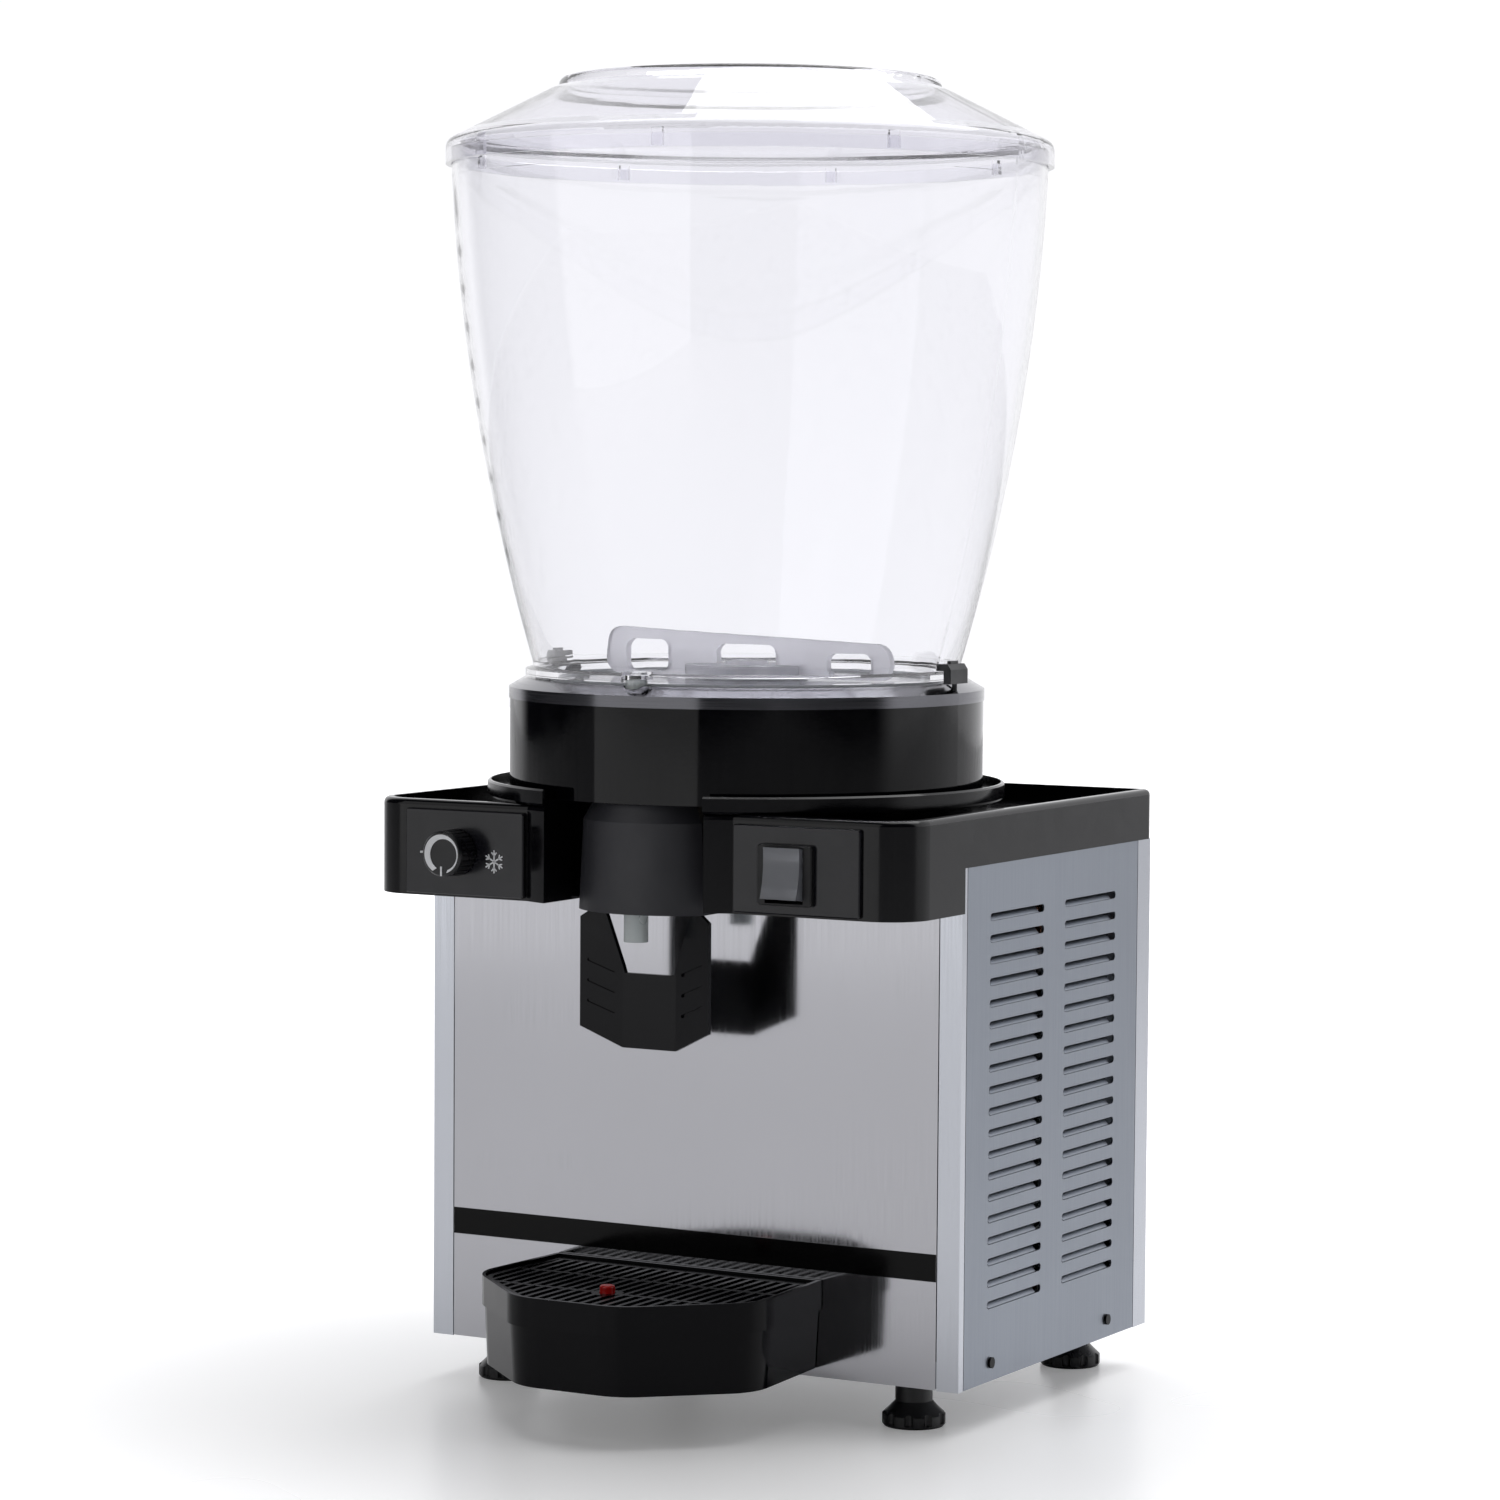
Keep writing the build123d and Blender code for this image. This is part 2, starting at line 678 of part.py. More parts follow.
# ================================================================ bowl and lid
tube_top = bowl_bottom + 2.6
outlet_top = tube_top + 4.2
with BuildPart() as bowl:
    with BuildSketch(Plane.XZ):
        with BuildLine():
            Line((104, bowl_bottom + 1), (122, bowl_bottom + 1))
            Line((122, bowl_bottom + 1), (122, bowl_bottom + 4.5))
            Line((122, bowl_bottom + 4.5), (bowl_foot_radius, bowl_bottom + 6))
            Line((bowl_foot_radius, bowl_bottom + 6), (bowl_foot_radius, 404))
            ThreePointArc((bowl_foot_radius, 404), (bowl_mid_radius, 525.5), (bowl_rim_radius, 668))
            Line((bowl_rim_radius, 668), (bowl_rim_radius, bowl_rim))
            Line((bowl_rim_radius, bowl_rim), (bowl_rim_radius - bowl_wall, bowl_rim))
            Line((bowl_rim_radius - bowl_wall, bowl_rim), (bowl_rim_radius - bowl_wall, 668))
            ThreePointArc(
                (bowl_rim_radius - bowl_wall, 668),
                (bowl_mid_radius - bowl_wall, 525.5),
                (bowl_foot_radius - bowl_wall, 404),
            )
            Line((bowl_foot_radius - bowl_wall, 404), (bowl_foot_radius - bowl_wall, bowl_bottom + 4.5))
            Line((bowl_foot_radius - bowl_wall, bowl_bottom + 4.5), (104, bowl_bottom + 4.5))
            Line((104, bowl_bottom + 4.5), (104, bowl_bottom + 1))
        make_face()
    revolve(axis=Axis.Z)
    with BuildSketch(Plane.XY.offset(bowl_bottom + 1)):
        with Locations((0, tube_y - axis_y)):
            Circle(8.6)
    extrude(amount=outlet_top - bowl_bottom - 1)
    with BuildSketch(Plane.XY.offset(bowl_bottom + 1)):
        with Locations((0, tube_y - axis_y)):
            Circle(tube_radius)
    extrude(amount=tube_top - bowl_bottom - 1, mode=Mode.SUBTRACT)
    with BuildSketch(Plane.XY.offset(tube_top)):
        with Locations((0, tube_y - axis_y)):
            Circle(tube_bore)
            Rectangle(2 * tube_bore, 20, align=(Align.CENTER, Align.MIN))
    extrude(amount=2.4, mode=Mode.SUBTRACT)
save(Pos(0, axis_y, 0) * bowl.part, "bowl")

with BuildPart() as bowl_seal:
    with BuildSketch(Plane.XY.offset(plate_top)):
        with Locations((0, axis_y)):
            Circle(108)
            Circle(105, mode=Mode.SUBTRACT)
    extrude(amount=bowl_bottom + 1 - plate_top)

with BuildPart() as outlet_tube:
    with BuildSketch(Plane.XY.offset(nozzle_z)):
        with Locations((0, tube_y)):
            Circle(tube_radius)
            Circle(tube_bore, mode=Mode.SUBTRACT)
    extrude(amount=tube_top - nozzle_z)

lid_wall = 2.6
skirt_low = 674.8
with BuildPart() as lid:
    with BuildSketch(Plane.XZ):
        with BuildLine():
            Line((bowl_rim_radius + 0.5, skirt_low), (lid_skirt_radius, skirt_low))
            Line((lid_skirt_radius, skirt_low), (lid_skirt_radius, 684))
            ThreePointArc((lid_skirt_radius, 684), (165.4, 686.9), (162.4, 689.4))
            Line((162.4, 689.4), (155.1, 692.9))
            Line((155.1, 692.9), (109.0, 716.2))
            Line((109.0, 716.2), (lid_cap_radius, 717.2))
            Line((lid_cap_radius, 717.2), (lid_cap_radius, 718.6))
            ThreePointArc((lid_cap_radius, 718.6), (103.6, 721.3), (100.8, lid_top))
            Line((100.8, lid_top), (0, lid_top))
            Line((0, lid_top), (0, lid_top - lid_wall))
            Line((0, lid_top - lid_wall), (99.0, lid_top - lid_wall))
            Line((99.0, lid_top - lid_wall), (102.4, 716.0))
            Line((102.4, 716.0), (154.0, 690.2))
            Line((154.0, 690.2), (158.6, 686.8))
            Line((158.6, 686.8), (158.6, bowl_rim + 0.4))
            Line((158.6, bowl_rim + 0.4), (bowl_rim_radius + 0.5, bowl_rim + 0.4))
            Line((bowl_rim_radius + 0.5, bowl_rim + 0.4), (bowl_rim_radius + 0.5, skirt_low))
        make_face()
    revolve(axis=Axis.Z)
    with BuildSketch(Plane.XY.offset(bowl_rim - 6)):
        with PolarLocations(bowl_rim_radius - bowl_wall - 1.8, 8, start_angle=12):
            Rectangle(3.0, 6)
    extrude(amount=8)
save(Pos(0, axis_y, 0) * lid.part, "lid")

# slide catches beside the bowl's foot: the lip slides inward over the bowl's flange
catch_length = 20.0
catch_inner = 122.4
catch_outer = 131.0
catch_low = plate_top + 0.4


def catch(side):
    with BuildPart() as block:
        with BuildSketch(Plane.XZ.offset(-(axis_y - catch_length / 2))):
            with BuildLine():
                Polyline(
                    (side * 126.6, catch_low),
                    (side * catch_outer, catch_low),
                    (side * catch_outer, 403.0),
                    (side * (catch_outer - 2), 406.0),
                    (side * catch_inner, 406.0),
                    (side * catch_inner, 402.4),
                    (side * 126.6, 402.4),
                    close=True,
                )
            make_face()
        extrude(amount=-catch_length)
        with BuildSketch(Plane.XY.offset(406.0)):
            with Locations((side * 127, axis_y)):
                Rectangle(2.0, 9)
        extrude(amount=1.6)
        with BuildSketch(Plane.XY.offset(catch_low + 3)):
            with Locations((side * catch_pin_x, axis_y)):
                Circle(catch_pin)
        extrude(amount=drum_top - 3 - catch_low)
    return block.part


save(catch(-1), "bowl_catch_left")
save(catch(1), "bowl_catch_right")

# ================================================================ tap
housing_half_low = 38.6
housing_half_high = 36.6
housing_low = 274.5
housing_high = 332.4
housing_wall = 2.5
housing_side_y = front_y - 52.0
housing_apex_y = front_y - 70.0


def housing_plan(half, apex_y, side_y, back):
    """D-shaped plan: straight sides and a bowed front."""
    with BuildSketch() as plan:
        with BuildLine():
            Line((-half, back), (-half, side_y))
            ThreePointArc((-half, side_y), (0, apex_y), (half, side_y))
            Line((half, side_y), (half, back))
            Line((half, back), (-half, back))
        make_face()
    return plan.sketch


housing_crease = 323.0
housing_back = notch_back - 0.3

with BuildPart() as tap_housing:
    with BuildSketch(Plane.XY.offset(housing_low)):
        add(housing_plan(housing_half_low, housing_apex_y, housing_side_y, housing_back))
    with BuildSketch(Plane.XY.offset(housing_crease)):
        add(housing_plan(housing_half_high, housing_apex_y + 0.8, housing_side_y + 0.8, housing_back))
    loft()
    with BuildSketch(Plane.XY.offset(housing_crease)):
        add(housing_plan(housing_half_high, housing_apex_y + 0.8, housing_side_y + 0.8, housing_back))
    with BuildSketch(Plane.XY.offset(housing_high)):
        add(housing_plan(housing_half_high - 5, housing_apex_y + 4, housing_side_y + 3, housing_back))
    loft()
    with BuildSketch(Plane.XY.offset(housing_low)):
        add(housing_plan(housing_half_low - housing_wall, housing_apex_y + 2.5, housing_side_y + 1.2, notch_back))
    with BuildSketch(Plane.XY.offset(housing_crease - 2)):
        add(housing_plan(housing_half_high - housing_wall, housing_apex_y + 3.3, housing_side_y + 2, notch_back))
    loft(mode=Mode.SUBTRACT)
    with BuildSketch(Plane.XY.offset(housing_crease - 2)):
        add(housing_plan(housing_half_high - housing_wall, housing_apex_y + 3.3, housing_side_y + 2, notch_back))
    with BuildSketch(Plane.XY.offset(housing_high - housing_wall)):
        add(housing_plan(housing_half_high - 6.3, housing_apex_y + 5.6, housing_side_y + 5, notch_back))
    loft(mode=Mode.SUBTRACT)
    with BuildSketch(Plane.XY.offset(housing_high - housing_wall - 1)):
        with Locations((0, tube_y)):
            Circle(tube_radius + 0.8)
    extrude(amount=6, mode=Mode.SUBTRACT)

ear_inner = 27.0
ear_outer = 30.0
with BuildPart() as tap_bracket:
    with BuildSketch(Plane.XZ.offset(-(notch_back - 3.2))):
        with Locations((0, 303)):
            Rectangle(2 * ear_outer, 44)
    extrude(amount=-3)
    with BuildSketch(Plane.XY.offset(298)):
        for side in (-1, 1):
            with Locations((side * (ear_inner + ear_outer) / 2, notch_back - 2)):
                Rectangle(ear_outer - ear_inner, 20.5, align=(Align.CENTER, Align.MAX))
    extrude(amount=20)
    with BuildSketch(Plane.YZ.offset(-ear_outer)):
        with Locations((pivot_y, pivot_z)):
            Circle(pin_radius)
    extrude(amount=2 * ear_outer, mode=Mode.SUBTRACT)

anvil_back = tube_y - tube_radius - 0.2
with BuildPart() as tube_anvil:
    with BuildSketch(Plane.XY.offset(284)):
        with Locations((0, anvil_back)):
            Rectangle(14, 2.7, align=(Align.CENTER, Align.MAX))
    extrude(amount=12)

with BuildPart() as lever_pin:
    with BuildSketch(Plane.YZ.offset(-ear_outer - 1)):
        with Locations((pivot_y, pivot_z)):
            Circle(pin_radius)
    extrude(amount=2 * ear_outer + 2)

facet_half = 16.4
lever_half = 39.6
facet_y = front_y - 43.0
wing_y = front_y - 49.0
lever_wall = 3.2
window_low = 240.3
window_high = 279.0
groove_depth = 1.2

with BuildPart() as tap_lever:
    with BuildSketch(Plane.XY.offset(lever_bottom)):
        with BuildLine():
            Polyline(
                (-lever_half, wing_y),
                (-facet_half, facet_y),
                (facet_half, facet_y),
                (lever_half, wing_y),
                (lever_half, wing_y + lever_wall),
                (facet_half, facet_y + lever_wall),
                (-facet_half, facet_y + lever_wall),
                (-lever_half, wing_y + lever_wall),
                close=True,
            )
        make_face()
    extrude(amount=304 - lever_bottom)
    with BuildSketch(Plane.XZ.offset(-(front_y - 80))):
        with BuildLine():
            Polyline(
                (facet_half, lever_bottom),
                (lever_half, 211),
                (lever_half, 270),
                (34, 274),
                (34, 285),
                (24, 291),
                (24, 310),
                (-24, 310),
                (-24, 291),
                (-34, 285),
                (-34, 274),
                (-lever_half, 270),
                (-lever_half, 211),
                (-facet_half, lever_bottom),
                close=True,
            )
        make_face()
        with BuildLine():
            Polyline((-15.2, window_low), (15.2, window_low), (28, window_high), (-28, window_high), close=True)
        make_face(mode=Mode.SUBTRACT)
    extrude(amount=-60, mode=Mode.INTERSECT)
    for side in (-1, 1):
        for groove in range(3):
            spot = (side * (facet_half + lever_half) / 2, (facet_y + wing_y) / 2, 222 + groove * 11)
            across = (lever_half - facet_half, side * (wing_y - facet_y), 0)
            with BuildSketch(Plane(origin=spot, x_dir=across, z_dir=(across[1], -across[0], 0))):
                SlotOverall(17, 1.8, rotation=side * 22)
            extrude(amount=-groove_depth, mode=Mode.SUBTRACT)
    with BuildSketch(Plane.YZ.offset(-24)):
        with Locations((pivot_y, pivot_z)):
            Circle(6.2)
    extrude(amount=48)
    with BuildSketch(Plane.YZ.offset(-26)):
        with Locations((pivot_y, pivot_z)):
            Circle(pin_radius + pin_clearance)
    extrude(amount=52, mode=Mode.SUBTRACT)

with BuildPart() as pinch_bar:
    with BuildSketch(Plane.XY.offset(286)):
        with Locations((0, tube_y + tube_radius + 0.3)):
            Rectangle(30, 5.0, align=(Align.CENTER, Align.MIN))
    extrude(amount=6)

spring_wire = 0.5
spring_radius = 4.2
spring_width = 1.4
with BuildPart() as lever_spring:
    with BuildLine() as spring_path:
        Helix(pitch=spring_width, height=spring_width, radius=spring_radius)
    with BuildSketch(Plane(origin=spring_path.line @ 0, z_dir=spring_path.line % 0)):
        Circle(spring_wire)
    sweep(is_frenet=True)
spring_spot = Pos(24.8, pivot_y, pivot_z) * Rot(0, 90, 0)
save(spring_spot * lever_spring.part, "lever_spring")

# ================================================================ drip tray
rim_low = 61.0
rim_high = 77.0
tray_low = 29.0
tray_wall = 2.5


def tray_outline(inset, back):
    """Plan of the tray: straight back, slightly flared sides and three front facets."""
    with BuildSketch() as outline:
        with BuildLine():
            Polyline(
                (83 - inset, back),
                (88 - inset, front_y - 75),
                (32 - inset * 0.45, front_y - tray_reach + inset),
                (-32 + inset * 0.45, front_y - tray_reach + inset),
                (-88 + inset, front_y - 75),
                (-83 + inset, back),
                close=True,
            )
        make_face()
        fillet(outline.vertices().group_by(Axis.Y)[0], 34 - inset)
        fillet(outline.vertices().filter_by_position(Axis.Y, front_y - 76, front_y - 74), 32 - inset)
    return outline.sketch


wall_back = front_y - 5.0
rim_back = front_y - 0.8
with BuildPart() as drip_tray:
    with BuildSketch(Plane.XY.offset(tray_low)):
        add(tray_outline(3.5, rim_back))
    with BuildSketch(Plane.XY.offset(rim_low)):
        add(tray_outline(1.8, rim_back))
    loft()
    with BuildSketch(Plane.XY.offset(rim_low)):
        add(tray_outline(0, rim_back))
    extrude(amount=rim_high - rim_low)
    with BuildSketch(Plane.XY.offset(tray_low + 3)):
        add(tray_outline(3.5 + tray_wall, wall_back - tray_wall))
    with BuildSketch(Plane.XY.offset(rim_low + 8)):
        add(tray_outline(1.8 + tray_wall, wall_back - tray_wall))
    loft(mode=Mode.SUBTRACT)
    with BuildSketch(Plane.XY.offset(rim_low + 8)):
        add(tray_outline(2.2, wall_back + 2))
    extrude(amount=rim_high, mode=Mode.SUBTRACT)
    with BuildSketch(Plane.XY.offset(tray_low)):
        with Locations((0, wall_back)):
            Rectangle(144, 10, align=(Align.CENTER, Align.MIN))
    extrude(amount=rim_low - tray_low, mode=Mode.SUBTRACT)
    for x in (-50, 50):
        with BuildSketch(Plane.XY.offset(52)):
            with Locations((x, rim_back)):
                Rectangle(24, 1.4, align=(Align.CENTER, Align.MAX))
        extrude(amount=rim_low - 52)

with BuildPart() as tray_rail:
    with BuildSketch(Plane.XZ.offset(-(front_y - 4.4))):
        with Locations((0, 54)):
            Rectangle(130, 13.4)
    extrude(amount=-1.6)
    with BuildSketch(Plane.XZ.offset(-(front_y - 2.8))):
        with Locations((-28, 54), (28, 54), (-66, 54), (66, 54)):
            Rectangle(6, 10)
    extrude(amount=-2.8)

grille_top = 75.4
float_y = front_y - 84.8
bar_pitch = 7.0
bar_gap = 4.4
with BuildPart() as tray_grille:
    with BuildSketch(Plane.XY.offset(rim_low + 8.3)):
        add(tray_outline(3.0, wall_back + 1.2))
    extrude(amount=grille_top - rim_low - 8.3)
    with BuildSketch(Plane.XY.offset(rim_low + 8)):
        add(tray_outline(7.0, wall_back - 3))
        with BuildSketch(mode=Mode.INTERSECT):
            for band_y, band in ((front_y - 27, 32), (front_y - 65, 38), (front_y - 104, 34)):
                with Locations((0, band_y)):
                    with GridLocations(bar_pitch, 0, 23, 1):
                        Rectangle(bar_gap, band)
            with Locations((0, float_y)):
                Circle(8.5, mode=Mode.SUBTRACT)
    extrude(amount=12, mode=Mode.SUBTRACT)
    with BuildSketch(Plane.XY.offset(rim_low + 8)):
        with Locations((0, float_y)):
            Circle(4.6)
    extrude(amount=12, mode=Mode.SUBTRACT)

with BuildPart() as tray_float:
    with BuildSketch(Plane.XY.offset(tray_low + 3.4)):
        with Locations((0, float_y)):
            Circle(15)
    extrude(amount=9)
    with BuildSketch(Plane.XY.offset(tray_low + 12.4)):
        with Locations((0, float_y)):
            Circle(4.1)
    extrude(amount=79.5 - tray_low - 12.4)
    fillet(tray_float.edges().group_by(Axis.Z)[-1], 1.2)

# ================================================================ refrigeration
pan_top = pan_floor + sheet
compressor_x = -72.0
compressor_y = 62.0
compressor_low = 44.0
compressor_high = 196.0
compressor_radius = 58.0
with BuildPart() as compressor:
    with BuildSketch(Plane.XZ):
        with BuildLine():
            Line((0, compressor_low), (compressor_radius - 16, compressor_low))
            ThreePointArc((compressor_radius - 16, compressor_low), (53.3, 48.7), (compressor_radius, compressor_low + 16))
            Line((compressor_radius, compressor_low + 16), (compressor_radius, 112))
            Line((compressor_radius, 112), (compressor_radius + 2.5, 114))
            Line((compressor_radius + 2.5, 114), (compressor_radius + 2.5, 120))
            Line((compressor_radius + 2.5, 120), (compressor_radius, 122))
            Line((compressor_radius, 122), (compressor_radius, 162))
            ThreePointArc((compressor_radius, 162), (42, 188), (0, compressor_high))
            Line((0, compressor_high), (0, compressor_low))
        make_face()
    revolve(axis=Axis.Z)
    with BuildSketch(Plane.XY.offset(160)):
        with Locations((return_x - compressor_x, 0)):
            Circle(4.5)
    extrude(amount=40)
    with BuildSketch(Plane.XY.offset(compressor_low - 3)):
        RectangleRounded(136, 104, 12)
        with GridLocations(112, 80, 2, 2):
            Circle(4.6, mode=Mode.SUBTRACT)
    extrude(amount=3)
save(Pos(compressor_x, compressor_y, 0) * compressor.part, "compressor")

with BuildPart() as compressor_mounts:
    with BuildSketch(Plane.XY.offset(pan_top)):
        with Locations((compressor_x, compressor_y)):
            with GridLocations(112, 80, 2, 2):
                Circle(9)
    extrude(amount=compressor_low - 3 - pan_top)
    with BuildSketch(Plane.XY.offset(compressor_low - 3)):
        with Locations((compressor_x, compressor_y)):
            with GridLocations(112, 80, 2, 2):
                Circle(4.5)
    extrude(amount=6)

with BuildPart() as terminal_box:
    with BuildSketch(Plane.XY.offset(80)):
        with Locations((compressor_x, compressor_y - compressor_radius + 1)):
            Rectangle(46, 22, align=(Align.CENTER, Align.MAX))
    extrude(amount=50)
    with BuildSketch(Plane.XY.offset(80)):
        with Locations((compressor_x, compressor_y)):
            Circle(compressor_radius + 2.8)
    extrude(amount=50, mode=Mode.SUBTRACT)

condenser_x = 128.0
condenser_y = 60.0
condenser_z = 150.0
condenser_depth = 30.0
condenser_width = 168.0
fin_count = 24
fin_pitch = 7.0
fin_stack = fin_pitch * (fin_count - 1)
tube_gap = 26.0
with BuildPart() as condenser:
    with BuildSketch(Plane.XY.offset(condenser_z - fin_stack / 2 - 4)):
        with Locations((condenser_x, condenser_y)):
            with GridLocations(16, tube_gap, 2, 6):
                Circle(4)
    extrude(amount=fin_stack + 8)
    for end_z, bends in ((condenser_z + fin_stack / 2 + 4, 3), (condenser_z - fin_stack / 2 - 11, 2)):
        with BuildSketch(Plane.XY.offset(end_z)):
            with Locations((condenser_x, condenser_y)):
                with GridLocations(16, 2 * tube_gap, 2, bends):
                    SlotCenterToCenter(tube_gap, 8, rotation=90)
        extrude(amount=7)
    with BuildSketch(Plane.XY.offset(condenser_z - fin_stack / 2), mode=Mode.PRIVATE) as fin_sketch:
        with Locations((condenser_x, condenser_y)):
            Rectangle(condenser_depth, condenser_width)
    fin = extrude(fin_sketch.sketch, amount=0.8, mode=Mode.PRIVATE)
    add([Pos(0, 0, number * fin_pitch) * fin for number in range(fin_count)])
    with BuildSketch(Plane.XY.offset(pan_floor + sheet)):
        with Locations((condenser_x, condenser_y)):
            with GridLocations(0, condenser_width + 1.6, 1, 2):
                Rectangle(condenser_depth, 1.6)
    extrude(amount=condenser_z + fin_stack / 2 + 0.8 - pan_floor - sheet)

fan_radius = 62.0
fan_motor_x = condenser_x - 46
shroud_x = condenser_x - condenser_depth / 2
with BuildPart() as fan_shroud:
    with BuildSketch(Plane.YZ.offset(shroud_x - 1.6)):
        with Locations((condenser_y, condenser_z)):
            Rectangle(condenser_width, fin_stack)
            Circle(fan_radius + 3, mode=Mode.SUBTRACT)
    extrude(amount=1.6)
    with BuildSketch(Plane.YZ.offset(fan_motor_x + 5)):
        with Locations((condenser_y, condenser_z)):
            Circle(fan_radius + 5)
            Circle(fan_radius + 3, mode=Mode.SUBTRACT)
    extrude(amount=shroud_x - fan_motor_x - 5)
    with BuildSketch(Plane.YZ.offset(fan_motor_x)):
        with Locations((condenser_y, condenser_z)):
            with PolarLocations(42, 4, start_angle=45):
                Rectangle(50, 5)
    extrude(amount=5)

with BuildPart() as fan_motor:
    with BuildSketch(Plane.YZ.offset(fan_motor_x - 34)):
        with Locations((condenser_y, condenser_z)):
            Circle(27)
    extrude(amount=34)
    with BuildSketch(Plane.YZ.offset(fan_motor_x)):
        with Locations((condenser_y, condenser_z)):
            Circle(16.8)
    extrude(amount=5.5)
    with BuildSketch(Plane.YZ.offset(fan_motor_x - 20)):
        with Locations((condenser_y, condenser_z)):
            Circle(shaft_radius + pin_clearance)
    extrude(amount=26, mode=Mode.SUBTRACT)
    with BuildSketch(Plane.XY.offset(pan_floor + sheet)):
        with Locations((fan_motor_x - 20, condenser_y)):
            Rectangle(22, 46)
    extrude(amount=2)
    with BuildSketch(Plane.XY.offset(pan_floor + sheet + 2)):
        with Locations((fan_motor_x - 20, condenser_y)):
            Rectangle(3, 30)
    extrude(amount=condenser_z - 24 - pan_floor - sheet - 2)

blade_count = 5
with BuildPart() as fan_blade:
    with BuildSketch(Plane.YZ.offset(fan_motor_x + 7)):
        with Locations((condenser_y, condenser_z)):
            Circle(15)
    extrude(amount=14)
    with BuildSketch(Plane.YZ.offset(fan_motor_x - 16)):
        with Locations((condenser_y, condenser_z)):
            Circle(shaft_radius)
    extrude(amount=24)
    for number in range(blade_count):
        blade_axis = Plane(
            origin=(fan_motor_x + 14, condenser_y, condenser_z),
            x_dir=(0, cos(2 * pi * number / blade_count), sin(2 * pi * number / blade_count)),
            z_dir=(1, 0, 0),
        )
        blade_root = Plane(
            origin=(blade_axis * Pos(13, 0, 0)).position,
            x_dir=(blade_axis.z_dir + blade_axis.y_dir * 1.6).normalized(),
            z_dir=blade_axis.x_dir,
        )
        with BuildSketch(blade_root):
            RectangleRounded(30, 1.8, 0.8)
        extrude(amount=fan_radius - 15)

with BuildPart() as filter_drier:
    with BuildSketch(Plane.XY.offset(70)):
        with Locations((30, 150)):
            Circle(13)
    extrude(amount=90)
    fillet(filter_drier.edges().filter_by(GeomType.CIRCLE), 5)

# pipe runs joined by tangent arcs
pipe_radius = 3.0


def pipe(points, bend):
    corners = [Vector(*point) for point in points]
    with BuildPart() as run:
        with BuildLine() as route:
            here = corners[0]
            for before, corner, after in zip(corners, corners[1:], corners[2:]):
                arc_start = corner + (before - corner).normalized() * bend
                arc_end = corner + (after - corner).normalized() * bend
                Line(here, arc_start)
                TangentArc(arc_start, arc_end, tangent=corner - before)
                here = arc_end
            Line(here, corners[-1])
        with BuildSketch(Plane(origin=corners[0], z_dir=corners[1] - corners[0])):
            Circle(pipe_radius)
        sweep(path=route.line)
    return run.part


coil_low = coil_z - coil_tube
tube_row = condenser_x - 8
hot_gas_z = 262.0
pipe_list = [
    pipe([(-72, 121.5, 100), (-72, 160, 100), (-72, 160, hot_gas_z), (tube_row, 160, hot_gas_z),
          (tube_row, 125, hot_gas_z), (tube_row, 125, 241.5)], 12),
    pipe([(30, 150, 160), (30, 150, 300), (-coil_start, 150, 300), (-coil_start, axis_y, 300),
          (-coil_start, axis_y, coil_low)], 12),
    pipe([(return_x, axis_y, coil_low), (return_x, axis_y, 262), (return_x, compressor_y, 262),
          (return_x, compressor_y, 200)], 12),
    pipe([(30, 150, 70), (30, 150, 46), (30, 125, 46), (tube_row, 125, 46), (tube_row, 125, 58.5)], 8),
]
with BuildPart() as refrigerant_pipes:
    for run in pipe_list:
        add(run)

with BuildPart() as cable_gland:
    with BuildSketch(Plane.XZ.offset(-back_y)):
        with Locations((gland_x, gland_z)):
            RegularPolygon(12, 6)
    extrude(amount=-7)
    with BuildSketch(Plane.XZ.offset(-back_y)):
        with Locations((gland_x, gland_z)):
            Circle(gland_radius)
    extrude(amount=9)
    with BuildSketch(Plane.XZ.offset(-(back_y - sheet))):
        with Locations((gland_x, gland_z)):
            Circle(11)
    extrude(amount=4)
    with BuildSketch(Plane.XZ.offset(-(back_y + 8))):
        with Locations((gland_x, gland_z)):
            Circle(4)
    extrude(amount=24, mode=Mode.SUBTRACT)

# ================================================================ export
for name, builder in {
    "corner_posts": corner_posts,
    "base_pan": base_pan,
    "front_panel": front_panel,
    "front_stripe": front_stripe,
    "rear_panel": rear_panel,
    "cabinet_screws": cabinet_screws,
    "foot_nuts": foot_nuts,
    "top_cover": top_cover,
    "fascia_underplate": fascia_underplate,
    "thermostat_body": thermostat_body,
    "thermostat_shaft": thermostat_shaft,
    "thermostat_knob": thermostat_knob,
    "switch_body": switch_body,
    "drum_shell": drum_shell,
    "insulation": insulation,
    "evaporator_coil": evaporator_coil,
    "motor_bracket": motor_bracket,
    "gear_motor": gear_motor,
    "drive_rotor": drive_rotor,
    "rotor_magnets": rotor_magnets,
    "paddle": paddle,
    "paddle_magnets": paddle_magnets,
    "bowl_seal": bowl_seal,
    "outlet_tube": outlet_tube,
    "tap_housing": tap_housing,
    "tap_bracket": tap_bracket,
    "tube_anvil": tube_anvil,
    "lever_pin": lever_pin,
    "tap_lever": tap_lever,
    "pinch_bar": pinch_bar,
    "drip_tray": drip_tray,
    "tray_rail": tray_rail,
    "tray_grille": tray_grille,
    "tray_float": tray_float,
    "compressor_mounts": compressor_mounts,
    "terminal_box": terminal_box,
    "condenser": condenser,
    "fan_shroud": fan_shroud,
    "fan_motor": fan_motor,
    "fan_blade": fan_blade,
    "filter_drier": filter_drier,
    "refrigerant_pipes": refrigerant_pipes,
    "cable_gland": cable_gland,
}.items():
    save(builder.part, name)
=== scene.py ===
import json
from math import cos, pi, radians, sin

import bpy
from mathutils import Matrix, Vector


